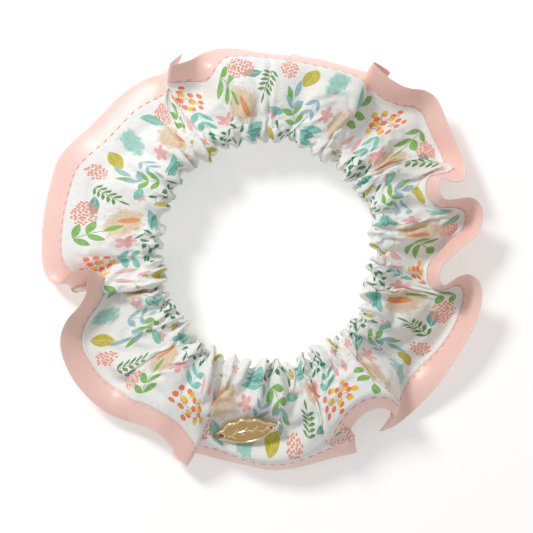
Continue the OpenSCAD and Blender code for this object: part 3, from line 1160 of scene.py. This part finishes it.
# The print's repeat: kind, x along the strip, y in from the ribbon, turn in degrees, colour, then sizes
PRINT = [
    ("blot", 10, 13.5, 20, TAN, 6.0, 4.2),
    ("leaf", 7.5, 17.5, 150, RUST, 6.5, 2.3),
    ("blot", 48, 12.5, -35, TAN, 5.2, 4.8),
    ("leaf", 44.5, 16, 165, RUST, 6.0, 2.2),
    ("blot", 58.5, 4.5, 10, TEAL, 2.6, 3.4),
    ("blossom", 18.5, 14.5, 0, ROSE, 2.9, 5),
    ("blossom", 56, 13.5, 30, ROSE, 2.5, 5),
    ("blossom", 34.5, 20.5, 10, ROSE, 1.8, 4),
    ("blossom", 47.5, 21.5, 0, ROSE, 1.7, 5),
    ("blossom", 76, 16, 20, ROSE, 1.9, 5),
    ("sprig", 16, 2.5, -24, LIGHT_GREEN, 2, 3.5, 4.9, 2.0, 0.9),
    ("sprig", 39.5, 12, -160, LIGHT_GREEN, 2, 3.4, 4.8, 2.0, 0.9),
    ("sprig", 66, 18.5, 150, LIGHT_GREEN, 2, 3.4, 4.8, 1.9, 0.9),
    ("sprig", 77.2, 5, 22, FERN_GREEN, 5, 1.3, 3.0, 0.85, 1.0),
    ("sprig", 25.5, 11, 8, TEAL, 2, 3.2, 5.0, 1.8, 0.85),
    ("sprig", 69, 14, -175, MIST, 1, 2.8, 5.4, 1.8, 0.7),
    ("sprig", 61.5, 10.5, 15, MIST, 2, 2.8, 3.8, 1.3, 0.85),
    ("leaf", 33.5, 12, 20, ROSE, 6.5, 1.8),
    ("leaf", 31, 11.5, -12, ROSE, 5.5, 1.6),
    ("leaf", 52.5, 1.5, -55, TEAL, 8.0, 2.8),
    ("leaf", 2, 5.5, 75, SEA, 6.0, 2.4),
    ("leaf", 71.5, 15.5, 85, TEAL, 6.5, 2.4),
    ("leaf", 2.5, 19, 62, TEAL, 8.5, 2.9),
    ("leaf", 3.5, 21.5, 75, SEA, 8.0, 2.8),
    ("leaf", 4, 24.5, 88, TEAL, 8.0, 2.7),
    ("leaf", 53, 17.5, 66, TEAL, 8.5, 2.9),
    ("leaf", 54, 20.5, 80, SEA, 8.0, 2.8),
    ("leaf", 54, 23.5, 95, TEAL, 7.5, 2.6),
    ("leaf", 36.5, 22, 25, OLIVE, 6.5, 3.0),
    ("leaf", 38, 22.5, -50, OLIVE, 5.5, 2.6),
    ("leaf", 65, 2, 12, OLIVE, 6.0, 4.2),
    ("leaf", 77.5, 20, -30, OLIVE, 6.0, 2.6),
    ("vine", 41, 18, 14, OLIVE, 17, 1.4, 6.0, 2.0),
    ("vine", 20, 20, -12, DEEP_GREEN, 17, 1.0, 2.6, 3.1),
    ("vine", 21, 24, 8, DEEP_GREEN, 15, 1.0, 2.5, 2.9),
    ("vine", 68, 22.5, 12, DEEP_GREEN, 16, 1.0, 2.6, 3.1),
    ("vine", 70, 26.5, -6, DEEP_GREEN, 14, 1.0, 2.5, 2.9),
    ("dots", 8, 4.2, 25, CORAL, 3.8, 3.0, 0.86, 0.36),
    ("dots", 45, 4.2, -20, CORAL, 3.6, 3.2, 0.86, 0.36),
    ("dots", 72.5, 3.8, 60, CORAL, 2.8, 2.5, 0.86, 0.36),
    ("vine", 27.5, 6.0, 40, BLUE, 8, 1.4, 30.0, 0.1),
    ("vine", 28.5, 6.0, -38, BLUE, 7, 1.2, 30.0, 0.1),
    ("dots", 27.5, 6.0, 12, ORANGE, 5.4, 4.4, 2.35, 0.78),
    ("dots", 28.5, 7.2, 40, YELLOW, 4.8, 4.0, 2.9, 0.78),
]


def cotton_material():
    """White cotton with a weave and a scattered garden print, laid out on the flat strip."""
    m, t = surface("cotton_print")
    cloth = t.cloth()
    x, y, _ = cloth.parts()
    x = x + (y > TOP_W) * UNDER_SHIFT
    y = y.math("MINIMUM", 2 * TOP_W - y)
    groups = {
        "sprig": motif("sprig", ["pairs", "step", "length", "width", "lean"], draw_sprig),
        "leaf": motif("leaf", ["length", "width"], draw_leaf),
        "dots": motif("dots", ["across", "high", "pitch", "dot"], draw_dots),
        "blossom": motif("blossom", ["size", "petals"], draw_blossom),
        "blot": motif("blot", ["across", "high"], draw_blot),
        "vine": motif("vine", ["length", "bow", "step", "leaf"], draw_vine),
    }
    worn = t.noise(cloth, 0.9, 3.0, 0.6).remap(0.3, 0.7, 0.8, 1.0)
    color = rgb(243, 243, 239)
    for kind, cx, cy, turn, ink, *sizes in PRINT:
        here = t.join((x - cx).math("WRAP", REPEAT / 2, -REPEAT / 2), y - cy)
        turned = {"Vector": here, "Angle": math.radians(turn)}
        turned = t.node("ShaderNodeVectorRotate", turned, rotation_type="Z_AXIS")[0]
        drawn = t.node("ShaderNodeGroup", [turned, *sizes], node_tree=groups[kind])[0]
        color = t.paint(color, ink, drawn * worn)
    threads_x = t.noise(cloth.times((0.5, 3.4, 1.0)), 1.0, 1.0)
    threads_y = t.noise(cloth.times((3.4, 0.5, 1.0)), 1.0, 1.0)
    weave = threads_x + threads_y
    return t.finish(m, {
        "Base Color": t.toned(color, weave.remap(0.7, 1.3, 0.93, 1.03)),
        "Roughness": 0.92,
        "Specular IOR Level": 0.2,
        "Sheen Weight": 0.25,
        "Sheen Roughness": 0.5,
        "Normal": t.bump(weave, 0.5, 0.00012),
    })


def satin_material(name, color):
    """Satin ribbon: fine threads along it, a soft gloss across them, and a woven free edge with raised ribs,
    painted paler as a painted highlight along its rim.
    """
    m, t = surface(name)
    cloth = t.cloth()
    threads = t.noise(cloth.times((0.25, 5.0, 1.0)), 1.0, 2.0)
    ribs = t.noise(cloth.times((4.5, 0.6, 1.0)), 1.0, 1.0)
    _, y, _ = cloth.parts()
    # The woven free edge: its ribs are real bumps, and its paler colour is a painted highlight where the rim
    # catches the light.
    selvage_and_highlight = (y - (RIBBON_W - 0.55)).step(0.12)
    tone = (threads * 0.6 + ribs * 0.4).remap(0.35, 0.65, 0.95, 1.03)
    paler = (*[min(1.0, c * 1.06) for c in color[:3]], 1.0)
    return t.finish(m, {
        "Base Color": t.toned(t.paint(color, paler, selvage_and_highlight), tone),
        "Roughness": 0.33,
        "Specular IOR Level": 0.55,
        "Sheen Weight": 0.5,
        "Sheen Roughness": 0.4,
        "Normal": t.bump(threads + selvage_and_highlight * 1.2, 0.35, 0.00008),
    })


def thread_material(name, color):
    """Twisted sewing thread: fine slanting strands with a little fuzz."""
    m, t = surface(name)
    twist = {"Vector": t.place(), "Scale": 2600.0, "Distortion": 3.0, "Detail": 1.0}
    strands = t.node("ShaderNodeTexWave", twist, bands_direction="DIAGONAL")[1]
    return t.finish(m, {
        "Base Color": t.toned(color[:3], strands.remap(0.0, 1.0, 0.86, 1.0)),
        "Roughness": 0.7,
        "Sheen Weight": 0.3,
        "Normal": t.bump(strands, 0.6, 0.00006),
    })


def elastic_material():
    """Ribbed white elastic, knitted across its rubber cores."""
    m, t = surface("elastic_band")
    knit = t.noise(t.cloth().times((4.0, 1.4, 1.0)), 1.0, 2.0)
    return t.finish(m, {
        "Base Color": t.toned(rgb(244, 243, 240)[:3], knit.remap(0.3, 0.7, 0.9, 1.0)),
        "Roughness": 0.8,
        "Normal": t.bump(knit, 0.7, 0.0002),
    })


def gold_material(name, color, roughness, brushed):
    """Pale gold, brushed along the tag."""
    m, t = surface(name)
    place = t.place()
    grain = t.noise(place.times((300.0, 6000.0, 6000.0)), 1.0, 3.0, dimensions="3D")
    return t.finish(m, {
        "Base Color": color,
        "Metallic": 1.0,
        "Roughness": grain.remap(0.3, 0.7, roughness - 0.08, roughness + 0.1),
        "Normal": t.bump(grain, brushed, 0.00004),
    })


# ---- The studio ----
def make_floor():
    side = 1500
    corners = [(-side, -side, 0), (side, -side, 0), (side, side, 0), (-side, side, 0)]
    white, t = surface("floor_white")
    t.finish(white, {
        "Base Color": (0.9, 0.9, 0.89, 1),
        "Roughness": 0.8,
        "Emission Color": (1, 0.985, 0.97, 1),
        "Emission Strength": 0.29,
    })
    mesh_piece("floor", corners, [(0, 1, 2, 3)], white)


def make_camera():
    """A long lens straight above the scrunchie."""
    data = bpy.data.cameras.new("camera")
    data.lens = 150
    data.sensor_width = 36
    data.clip_end = 5
    ob = bpy.data.objects.new("camera", data)
    width = 0.144
    ob.location = (0.0001, -0.0042, 0.008 + width * data.lens / data.sensor_width)
    bpy.context.scene.collection.objects.link(ob)
    bpy.context.scene.camera = ob


def area_light(name, place, size, energy):
    """A round light turned to the origin."""
    data = bpy.data.lights.new(name, "AREA")
    data.shape = "DISK"
    data.size = size
    data.energy = energy
    ob = bpy.data.objects.new(name, data)
    ob.location = place
    ob.rotation_euler = (-Vector(place)).to_track_quat("-Z", "Y").to_euler()
    bpy.context.scene.collection.objects.link(ob)


def make_lights():
    world = bpy.data.worlds.new("studio")
    world.use_nodes = True
    sky = world.node_tree.nodes["Background"]
    sky.inputs["Color"].default_value = (1, 1, 1, 1)
    sky.inputs["Strength"].default_value = 0.48
    bpy.context.scene.world = world
    area_light("key", (-0.38, 0.46, 0.56), 0.2, 3.6)
    bpy.context.scene.view_settings.view_transform = "Standard"


make_camera()
make_floor()
make_lights()
ruffle = ruffle_lines(COLUMNS)
cover_grid, column_angles = make_cover(ruffle, cotton_material())
make_ribbon(ruffle, cover_grid, column_angles, satin_material("satin_ribbon", rgb(253, 210, 199)))
make_edge_stitching(ruffle, column_angles, thread_material("pink_thread", rgb(255, 222, 213)))
white_thread = thread_material("white_thread", rgb(250, 250, 247))
make_closing_stitches(cover_grid, white_thread)
make_elastic(elastic_material())
make_elastic_join(white_thread)
rim_gold = gold_material("tag_rim", rgb(250, 232, 192), 0.25, 0.1)
make_tag(gold_material("tag_metal", rgb(222, 184, 128), 0.4, 0.5), rim_gold)
make_tag_thread("tag_thread_left", -1, thread_material("brown_thread", rgb(158, 128, 98)))
make_tag_thread("tag_thread_right", 1, white_thread)
